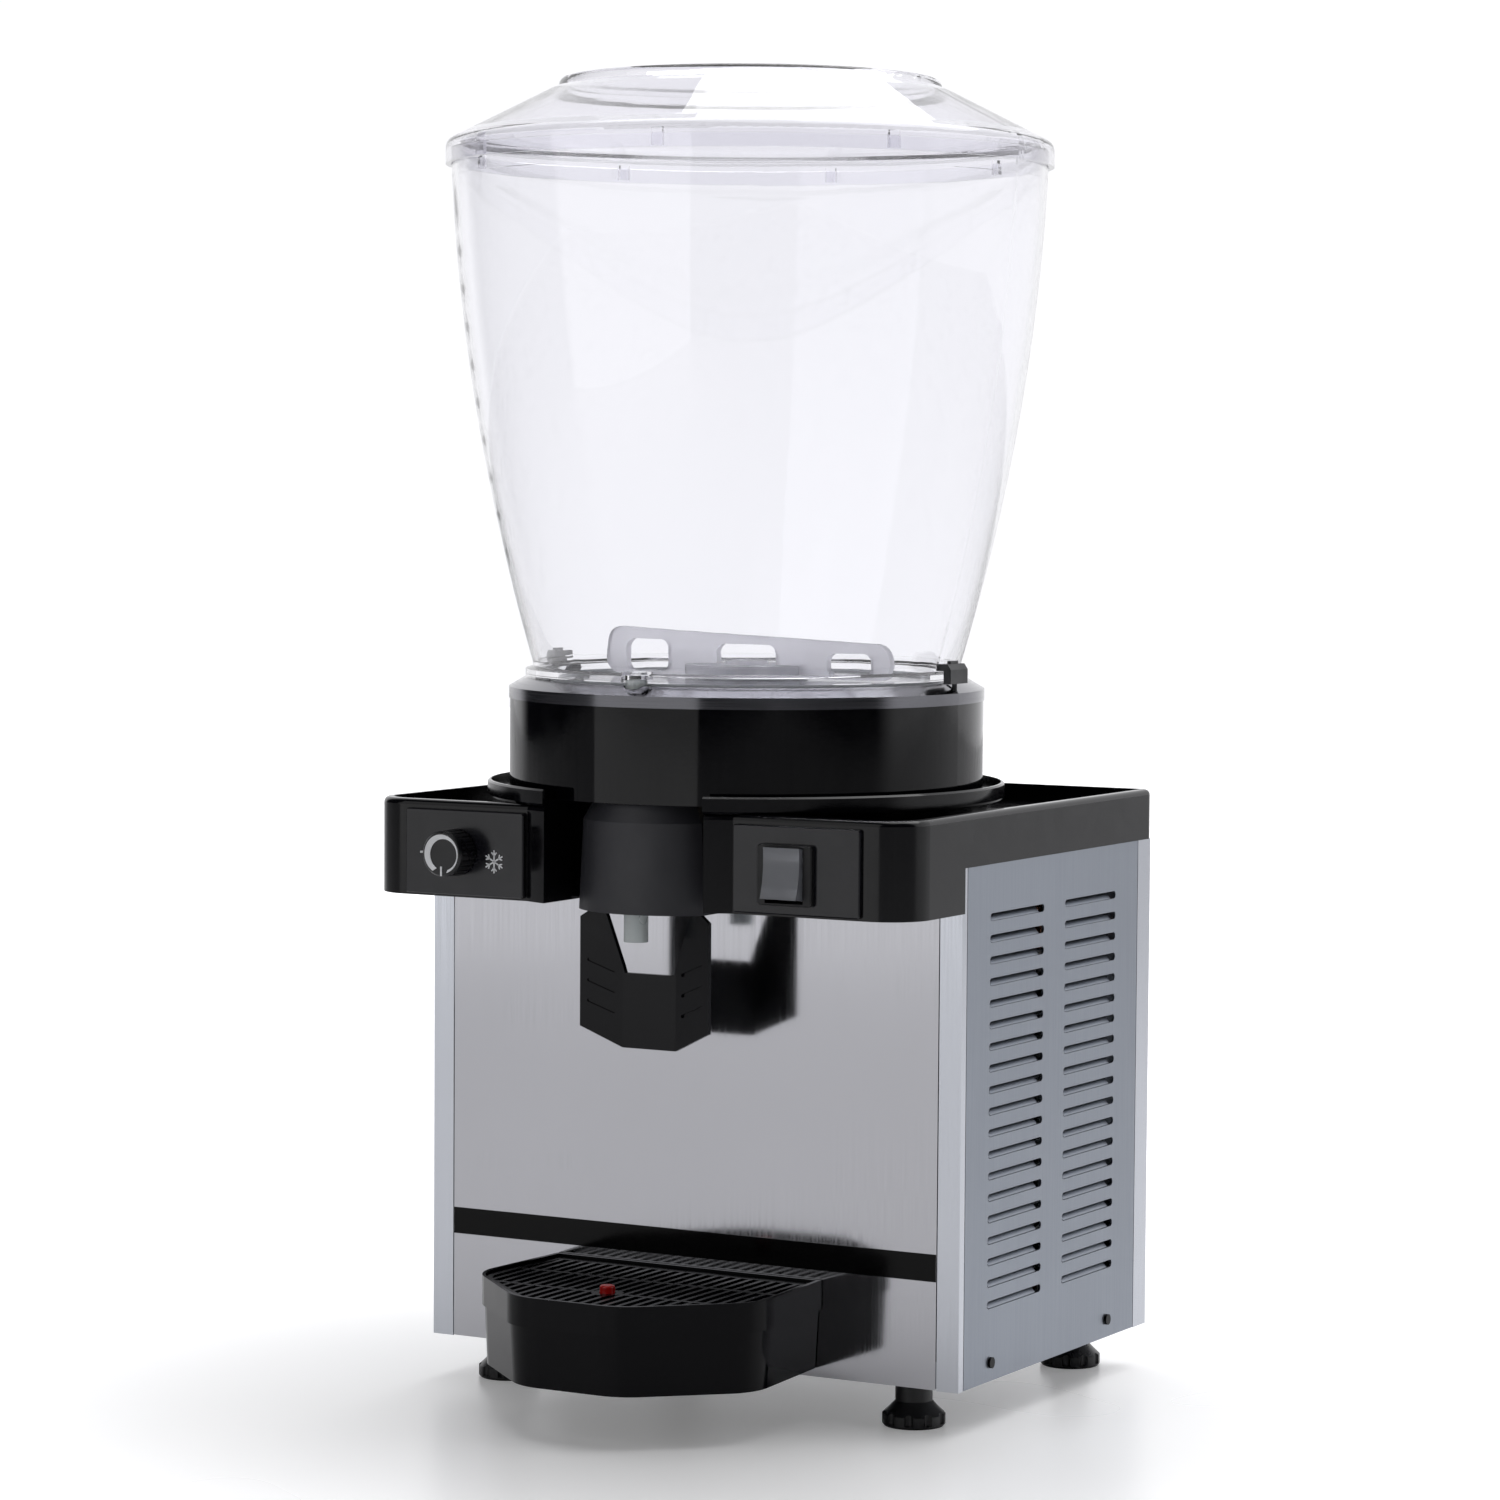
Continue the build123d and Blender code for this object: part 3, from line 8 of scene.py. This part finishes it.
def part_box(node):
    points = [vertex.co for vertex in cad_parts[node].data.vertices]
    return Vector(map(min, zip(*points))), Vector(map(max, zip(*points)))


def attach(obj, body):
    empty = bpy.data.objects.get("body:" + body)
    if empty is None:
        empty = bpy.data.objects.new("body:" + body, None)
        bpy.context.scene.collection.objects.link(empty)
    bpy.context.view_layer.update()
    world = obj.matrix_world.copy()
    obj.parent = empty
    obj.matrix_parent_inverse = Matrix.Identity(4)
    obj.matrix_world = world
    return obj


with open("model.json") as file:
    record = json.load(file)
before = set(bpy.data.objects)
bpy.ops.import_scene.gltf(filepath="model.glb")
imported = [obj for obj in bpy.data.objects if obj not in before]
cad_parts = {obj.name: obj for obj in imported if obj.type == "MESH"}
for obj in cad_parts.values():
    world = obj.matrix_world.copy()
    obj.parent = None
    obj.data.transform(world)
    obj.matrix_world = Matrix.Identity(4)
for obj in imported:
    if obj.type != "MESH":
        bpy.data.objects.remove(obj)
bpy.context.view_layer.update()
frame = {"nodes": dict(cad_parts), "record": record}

nodes = frame["nodes"]


# ---------------------------------------------------------------- material helpers
class Finish:
    """One Principled material with object-space texture helpers."""

    def __init__(self, name, color, roughness, metallic=0.0):
        self.material = bpy.data.materials.new(name)
        self.material.use_nodes = True
        self.tree = self.material.node_tree
        self.shader = self.tree.nodes["Principled BSDF"]
        self.set("Base Color", (*color, 1.0))
        self.set("Roughness", roughness)
        self.set("Metallic", metallic)
        self.color = color
        # normal output of the last bump, which the next bump builds on
        self.height = None

    def set(self, socket, value):
        self.shader.inputs[socket].default_value = value

    def node(self, kind, **settings):
        made = self.tree.nodes.new(kind)
        for key, value in settings.items():
            setattr(made, key, value)
        return made

    def link(self, a, b):
        self.tree.links.new(a, b)

    def place(self, scale=(1, 1, 1)):
        coordinate = self.node("ShaderNodeTexCoord")
        mapping = self.node("ShaderNodeMapping")
        mapping.inputs["Scale"].default_value = scale
        self.link(coordinate.outputs["Object"], mapping.inputs["Vector"])
        return mapping.outputs["Vector"]

    def noise(self, scale, stretch=(1, 1, 1), detail=3.0):
        texture = self.node("ShaderNodeTexNoise")
        texture.inputs["Scale"].default_value = scale
        texture.inputs["Detail"].default_value = detail
        self.link(self.place(stretch), texture.inputs["Vector"])
        return texture.outputs["Fac"]

    def spread(self, value, low, high):
        ramp = self.node("ShaderNodeMapRange")
        ramp.inputs["From Min"].default_value = 0.3
        ramp.inputs["From Max"].default_value = 0.7
        ramp.inputs["To Min"].default_value = low
        ramp.inputs["To Max"].default_value = high
        self.link(value, ramp.inputs["Value"])
        return ramp.outputs["Result"]

    def rough(self, value, low, high):
        self.link(self.spread(value, low, high), self.shader.inputs["Roughness"])

    def tint(self, value, low, high):
        """Varies the base colour between low and high times itself."""
        mix = self.node("ShaderNodeMix", data_type="RGBA")
        mix.inputs[6].default_value = (*[c * low for c in self.color], 1)
        mix.inputs[7].default_value = (*[min(c * high, 1) for c in self.color], 1)
        self.link(self.spread(value, 0, 1), mix.inputs["Factor"])
        self.link(mix.outputs[2], self.shader.inputs["Base Color"])

    def bump(self, value, depth):
        relief = self.node("ShaderNodeBump")
        relief.inputs["Strength"].default_value = 1.0
        relief.inputs["Distance"].default_value = depth
        self.link(value, relief.inputs["Height"])
        if self.height is not None:
            self.link(self.height, relief.inputs["Normal"])
        self.height = relief.outputs["Normal"]
        self.link(self.height, self.shader.inputs["Normal"])


def brushed(name, color, low, high, grain, depth, uneven=0.03):
    """Steel sheet with fine lines along one axis and faint rolling waves."""
    steel = Finish(name, color, low, metallic=1.0)
    lines = steel.noise(900, grain, 2.0)
    clouds = steel.noise(9, (1, 1, 1), 3.0)
    steel.rough(lines, low, high)
    steel.tint(clouds, 1 - uneven, 1 + uneven)
    steel.bump(lines, depth)
    return steel.material


def moulded(name, color, low, high, grain=420, depth=0.000006, waves=0.00001, gloss=0.5):
    """Injection-moulded plastic: fine grain, slow sink waves and uneven gloss."""
    plastic = Finish(name, color, low)
    plastic.rough(plastic.noise(60, (1, 1, 1), 4.0), low, high)
    plastic.tint(plastic.noise(14, (1, 1, 1), 3.0), 0.85, 1.15)
    plastic.bump(plastic.noise(grain, (1, 1, 1), 2.0), depth)
    if waves:
        plastic.bump(plastic.noise(22, (1, 1, 1), 1.0), waves)
    plastic.set("Specular IOR Level", gloss)
    return plastic.material


def clear(name, color, roughness, ior, transmission=1.0, grain=30, depth=0.00002):
    """Clear or tinted moulded polycarbonate."""
    plastic = Finish(name, color, roughness)
    plastic.set("Transmission Weight", transmission)
    plastic.set("IOR", ior)
    plastic.rough(plastic.noise(40, (1, 1, 1), 3.0), roughness, roughness * 1.6)
    plastic.bump(plastic.noise(grain, (1, 1, 1), 1.0), depth)
    return plastic.material


def cast(name, color, metallic, low, high):
    metal = Finish(name, color, low, metallic=metallic)
    metal.rough(metal.noise(50, (1, 1, 1), 4.0), low, high)
    metal.tint(metal.noise(25, (1, 1, 1), 4.0), 0.85, 1.1)
    metal.bump(metal.noise(500, (1, 1, 1), 2.0), 0.00001)
    return metal.material


upright = (1, 1, 0.02)
level = (0.02, 0.02, 1)
finishes = {
    "front_steel": brushed("front steel sheet", (0.50, 0.50, 0.53), 0.08, 0.13, upright, 0.000001, 0.012),
    "post_steel": brushed("corner post steel", (0.60, 0.62, 0.67), 0.12, 0.2, upright, 0.0000015, 0.015),
    "side_steel": brushed("side panel steel", (0.29, 0.315, 0.36), 0.3, 0.4, upright, 0.000003),
    "ring_steel": brushed("cooling ring steel", (0.17, 0.17, 0.185), 0.10, 0.18, level, 0.000002),
    "pan_steel": cast("base pan steel", (0.5, 0.51, 0.53), 1.0, 0.3, 0.5),
    "zinc_steel": cast("zinc plated steel", (0.62, 0.63, 0.66), 1.0, 0.22, 0.4),
    "motor_silver": cast("motor casing", (0.62, 0.63, 0.65), 1.0, 0.3, 0.45),
    "fin_aluminium": cast("condenser fins", (0.78, 0.79, 0.8), 1.0, 0.25, 0.4),
    "copper": cast("copper tube", (0.72, 0.38, 0.24), 1.0, 0.22, 0.38),
    "compressor_black": cast("compressor enamel", (0.015, 0.015, 0.016), 0.0, 0.25, 0.4),
    "dark_screw": cast("blackened screw", (0.012, 0.012, 0.013), 1.0, 0.25, 0.4),
    "stripe_black": moulded("stripe film", (0.0008, 0.0008, 0.001), 0.10, 0.16, gloss=0.15),
    "cover_black": moulded("cover gloss black", (0.0025, 0.0025, 0.0035), 0.10, 0.18, gloss=0.35),
    "drum_black": moulded("drum gloss black", (0.001, 0.001, 0.0018), 0.045, 0.09, depth=0.000003, gloss=0.3),
    "plate_black": moulded("control plate black", (0.006, 0.006, 0.009), 0.16, 0.24),
    "matt_black": moulded("matt black plastic", (0.004, 0.004, 0.005), 0.45, 0.6, depth=0.00002),
    "housing_grey": moulded("tap housing grey", (0.024, 0.024, 0.029), 0.40, 0.52, depth=0.00002),
    "lever_black": moulded("lever gloss black", (0.0035, 0.0035, 0.005), 0.12, 0.2, gloss=0.22),
    "tray_black": moulded("tray gloss black", (0.002, 0.002, 0.003), 0.10, 0.18, gloss=0.12),
    "grille_black": moulded("grille black", (0.003, 0.003, 0.004), 0.2, 0.32, gloss=0.2),
    "knob_black": moulded("knob black", (0.0045, 0.0045, 0.006), 0.25, 0.38),
    "latch_grey": moulded("catch grey", (0.02, 0.021, 0.024), 0.35, 0.5),
    "foot_black": moulded("foot black", (0.003, 0.003, 0.004), 0.25, 0.4),
    "grommet_rubber": moulded("grommet rubber", (0.02, 0.02, 0.02), 0.6, 0.8, depth=0.00003),
    "float_red": moulded("float red", (0.55, 0.012, 0.010), 0.15, 0.25),
    "cream_plastic": moulded("cream plastic", (0.7, 0.66, 0.55), 0.4, 0.55),
    "foam": moulded("insulating foam", (0.8, 0.72, 0.5), 0.8, 0.95, grain=200, depth=0.0004),
    "seal_white": moulded("seal white", (0.75, 0.77, 0.8), 0.4, 0.5),
    "clear_bowl": clear("bowl polycarbonate", (0.94, 0.94, 0.958), 0.01, 1.48, grain=6, depth=0.000002),
    "clear_lid": clear("lid polycarbonate", (0.868, 0.863, 0.897), 0.01, 1.48, grain=6, depth=0.000002),
    "tube_clear": clear("nozzle tube", (0.72, 0.76, 0.76), 0.18, 1.4, transmission=0.55),
    "paddle_white": clear("paddle plastic", (0.94, 0.935, 0.98), 0.45, 1.3, transmission=0.75),
    "rocker_clear": clear("rocker lens", (0.30, 0.31, 0.34), 0.06, 1.49, transmission=0.55),
}

for part in frame["record"]["subparts"]:
    target = nodes[part["node"]]
    finish = finishes[part["material_slot"]]
    if not target.material_slots:
        target.data.materials.append(finish)
    for material_slot in target.material_slots:
        material_slot.material = finish

# ---------------------------------------------------------------- printed marks, modelled thin
white_print = moulded("white print", (0.82, 0.83, 0.85), 0.45, 0.6, waves=0)


def shape_mode(mode):
    bpy.ops.object.mode_set(mode=mode)


def start_piece():
    bpy.ops.object.select_all(action="DESELECT")


def finish_piece(name, body, material):
    """Applies transforms, names the piece, gives it its finish and lets it ride."""
    piece = bpy.context.object
    bpy.ops.object.transform_apply(location=True, rotation=True, scale=True)
    piece.name = name
    piece.data.materials.clear()
    piece.data.materials.append(material)
    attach(piece, body)
    return piece


def bar(center, size, turn=0.0):
    """A thin upright printed bar on a front face, turned about the Y axis."""
    start_piece()
    bpy.ops.mesh.primitive_cube_add(size=1, location=center, rotation=(0, turn, 0), scale=size)
    bpy.ops.object.transform_apply(location=False, rotation=False, scale=True)
    shape_mode("EDIT")
    bpy.ops.mesh.select_all(action="SELECT")
    bpy.ops.mesh.bevel(offset=ink * 0.3, segments=2, affect="EDGES")
    shape_mode("OBJECT")
    return bpy.context.object


def join(parts):
    start_piece()
    for piece in parts:
        piece.select_set(True)
    bpy.context.view_layer.objects.active = parts[0]
    bpy.ops.object.join()


plate_low, plate_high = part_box("thermostat_plate")
plate_face = plate_low[1]
knob_low, knob_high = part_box("thermostat_knob")
knob_x = (knob_low[0] + knob_high[0]) / 2
knob_z = (knob_low[2] + knob_high[2]) / 2
knob_face = knob_low[1]
ink = 0.0003
tick_reach = 0.0215
tick_drop = 0.0008
tick_size = (0.0042, ink, 0.0011)
flake_reach = 0.0238
flake_drop = 0.0041
flake_arm = 0.0062
arm_width = 0.0008
branch_length = 0.0025
branch_width = 0.0007
branch_shift = 0.0012
branch_root = 0.52
scale_radius = 0.0106
scale_gap_half = 0.0040
scale_inner_ratio = 0.80
scale_inner_shift = (0.00148, -0.00026, 0)
pointer_drop = 0.0092
pointer_size = (0.0011, ink, 0.0052)

# tick mark on the plate
bar((knob_x - tick_reach, plate_face - ink / 2, knob_z - tick_drop), tick_size)
finish_piece("thermostat_tick", "chassis", white_print)

# snowflake beside the knob: three bars with small side branches
flake_x = knob_x + flake_reach
flake_z = knob_z - flake_drop
strokes = []
for number in range(6):
    angle = number * pi / 3 + pi / 2
    out_x = cos(angle)
    out_z = sin(angle)
    middle = (flake_x + out_x * flake_arm / 2, plate_face - ink / 2, flake_z + out_z * flake_arm / 2)
    strokes.append(bar(middle, (flake_arm, ink, arm_width), -angle))
    root_x = flake_x + out_x * flake_arm * branch_root
    root_z = flake_z + out_z * flake_arm * branch_root
    for side in (-1, 1):
        branch = angle + side * radians(42)
        middle_x = root_x + cos(branch) * branch_shift
        middle_z = root_z + sin(branch) * branch_shift
        middle = (middle_x, plate_face - ink / 2, middle_z)
        strokes.append(bar(middle, (branch_length, ink, branch_width), -branch))
join(strokes)
finish_piece("cold_symbol", "chassis", white_print)

# tapered arc round the knob's face: two circles, one off centre, joined into a crescent
start_piece()
bpy.ops.mesh.primitive_circle_add(vertices=96, radius=scale_radius, fill_type="NOTHING")
shape_mode("EDIT")
bpy.ops.mesh.select_all(action="SELECT")
bpy.ops.mesh.extrude_edges_move(TRANSFORM_OT_translate={"value": scale_inner_shift})
bpy.ops.transform.resize(value=(scale_inner_ratio, scale_inner_ratio, 1), center_override=scale_inner_shift)
shape_mode("OBJECT")
crescent = bpy.context.object
for face in crescent.data.polygons:
    face.select = abs(face.center.x) < scale_gap_half and face.center.y < 0
for vertex in crescent.data.vertices:
    vertex.select = False
for edge in crescent.data.edges:
    edge.select = False
shape_mode("EDIT")
bpy.ops.mesh.select_mode(type="FACE")
bpy.ops.mesh.delete(type="FACE")
bpy.ops.mesh.select_all(action="SELECT")
bpy.ops.mesh.extrude_region_move(TRANSFORM_OT_translate={"value": (0, 0, ink)})
bpy.ops.mesh.select_all(action="SELECT")
bpy.ops.mesh.normals_make_consistent(inside=False)
shape_mode("OBJECT")
crescent.rotation_euler = (radians(90), 0, 0)
crescent.location = (knob_x, knob_face, knob_z)
finish_piece("knob_scale", "thermostat", white_print)

bar((knob_x, knob_face - ink / 2, knob_z - pointer_drop), pointer_size)
finish_piece("knob_pointer", "thermostat", white_print)

# ---------------------------------------------------------------- studio
floor_size = 12
# glow of the floor beside the machine and further out, and the distances between which it grows
glow_near = 0.18
glow_far = 0.90
glow_starts = 0.24
glow_full = 0.85
glow_through_plastic = 0.25
backdrop_heading = radians(4)
backdrop_rise = 0.12
backdrop_edge = (0.12, 0.36)
backdrop_white = (1.03, 1.03, 1.05, 1)
surround_dark = (0.012, 0.0125, 0.016, 1)
camera_spot = (1.244, -2.2063, 0.511)
camera_yaw = radians(29.34)
camera_pitch = radians(3.52)
camera_roll = radians(-0.37)
camera_lens = 110.48

start_piece()
bpy.ops.mesh.primitive_plane_add(size=floor_size, location=(0, 0, 0))
floor = bpy.context.object
floor.name = "floor"
floor_finish = Finish("studio floor", (0.90, 0.90, 0.905), 0.28)
floor_finish.set("Specular IOR Level", 0.35)
floor_finish.set("Emission Color", (1.0, 1.0, 1.0, 1.0))
fade_from = floor_finish.node("ShaderNodeTexCoord")
away = floor_finish.node("ShaderNodeVectorMath", operation="LENGTH")
whiten = floor_finish.node("ShaderNodeMapRange", interpolation_type="SMOOTHSTEP")
whiten.inputs["From Min"].default_value = glow_starts
whiten.inputs["From Max"].default_value = glow_full
whiten.inputs["To Min"].default_value = glow_near
whiten.inputs["To Max"].default_value = glow_far
seen = floor_finish.node("ShaderNodeLightPath")
direct = floor_finish.node("ShaderNodeMath", operation="MULTIPLY_ADD")
direct.inputs[1].default_value = glow_through_plastic
glow = floor_finish.node("ShaderNodeMath", operation="MULTIPLY")
floor_finish.link(fade_from.outputs["Object"], away.inputs[0])
floor_finish.link(away.outputs["Value"], whiten.inputs["Value"])
floor_finish.link(seen.outputs["Is Transmission Ray"], direct.inputs[0])
floor_finish.link(seen.outputs["Is Camera Ray"], direct.inputs[2])
floor_finish.link(whiten.outputs["Result"], glow.inputs[0])
floor_finish.link(direct.outputs["Value"], glow.inputs[1])
floor_finish.link(glow.outputs["Value"], floor_finish.shader.inputs["Emission Strength"])
floor_finish.rough(floor_finish.noise(3, (1, 1, 1), 2.0), 0.26, 0.32)
floor.data.materials.append(floor_finish.material)

# a white backdrop behind the machine, darkness elsewhere
world = bpy.data.worlds.new("studio")
bpy.context.scene.world = world
world.use_nodes = True
sky = world.node_tree.nodes["Background"]
sky.inputs["Strength"].default_value = 1.0
direction = world.node_tree.nodes.new("ShaderNodeTexCoord")
facing = world.node_tree.nodes.new("ShaderNodeVectorMath")
facing.operation = "DOT_PRODUCT"
facing.inputs[1].default_value = (sin(backdrop_heading), cos(backdrop_heading), backdrop_rise)
fade = world.node_tree.nodes.new("ShaderNodeMapRange")
fade.interpolation_type = "SMOOTHSTEP"
fade.inputs["From Min"].default_value = backdrop_edge[0]
fade.inputs["From Max"].default_value = backdrop_edge[1]
shade = world.node_tree.nodes.new("ShaderNodeMix")
shade.data_type = "RGBA"
shade.inputs[6].default_value = surround_dark
shade.inputs[7].default_value = backdrop_white
world.node_tree.links.new(direction.outputs["Generated"], facing.inputs[0])
world.node_tree.links.new(facing.outputs["Value"], fade.inputs["Value"])
world.node_tree.links.new(fade.outputs["Result"], shade.inputs["Factor"])
# looked at straight or through the clear plastic, it is white all round
rays = world.node_tree.nodes.new("ShaderNodeLightPath")
straight = world.node_tree.nodes.new("ShaderNodeMath")
straight.operation = "MAXIMUM"
all_round = world.node_tree.nodes.new("ShaderNodeMix")
all_round.data_type = "RGBA"
all_round.inputs[7].default_value = backdrop_white
world.node_tree.links.new(rays.outputs["Is Camera Ray"], straight.inputs[0])
world.node_tree.links.new(rays.outputs["Is Transmission Ray"], straight.inputs[1])
world.node_tree.links.new(straight.outputs["Value"], all_round.inputs["Factor"])
world.node_tree.links.new(shade.outputs[2], all_round.inputs[6])
world.node_tree.links.new(all_round.outputs[2], sky.inputs["Color"])


def softbox(name, heading, distance, height, target_z, size, radiance):
    """A rectangular area light at a compass heading from the machine, +Y being 0."""
    data = bpy.data.lights.new(name, "AREA")
    data.shape = "RECTANGLE"
    data.size, data.size_y = size
    data.energy = radiance * pi * size[0] * size[1]
    lamp = bpy.data.objects.new(name, data)
    bpy.context.scene.collection.objects.link(lamp)
    spot = Vector((sin(radians(heading)) * distance, cos(radians(heading)) * distance, height))
    lamp.location = spot
    lamp.rotation_euler = (Vector((0, 0, target_z)) - spot).to_track_quat("-Z", "Y").to_euler()
    return lamp


softbox("front left softbox", 200, distance=2.1, height=1.0, target_z=0.55, size=(2.3, 2.4), radiance=0.66)
softbox("overhead softbox", 20, distance=0.5, height=2.4, target_z=0.3, size=(2.4, 2.4), radiance=2.2)

level_look = cos(camera_pitch)
look = Vector((-sin(camera_yaw) * level_look, cos(camera_yaw) * level_look, -sin(camera_pitch)))
flat_right = Vector((cos(camera_yaw), sin(camera_yaw), 0))
flat_down = look.cross(flat_right)
right = cos(camera_roll) * flat_right + sin(camera_roll) * flat_down
up = sin(camera_roll) * flat_right - cos(camera_roll) * flat_down
camera_data = bpy.data.cameras.new("camera")
camera_data.sensor_width = 36.0
camera_data.lens = camera_lens
camera = bpy.data.objects.new("camera", camera_data)
bpy.context.scene.collection.objects.link(camera)
turned = Matrix((right, up, -look)).transposed().to_4x4()
camera.matrix_world = Matrix.Translation(camera_spot) @ turned
bpy.context.scene.camera = camera
bpy.context.scene.view_settings.view_transform = "Standard"
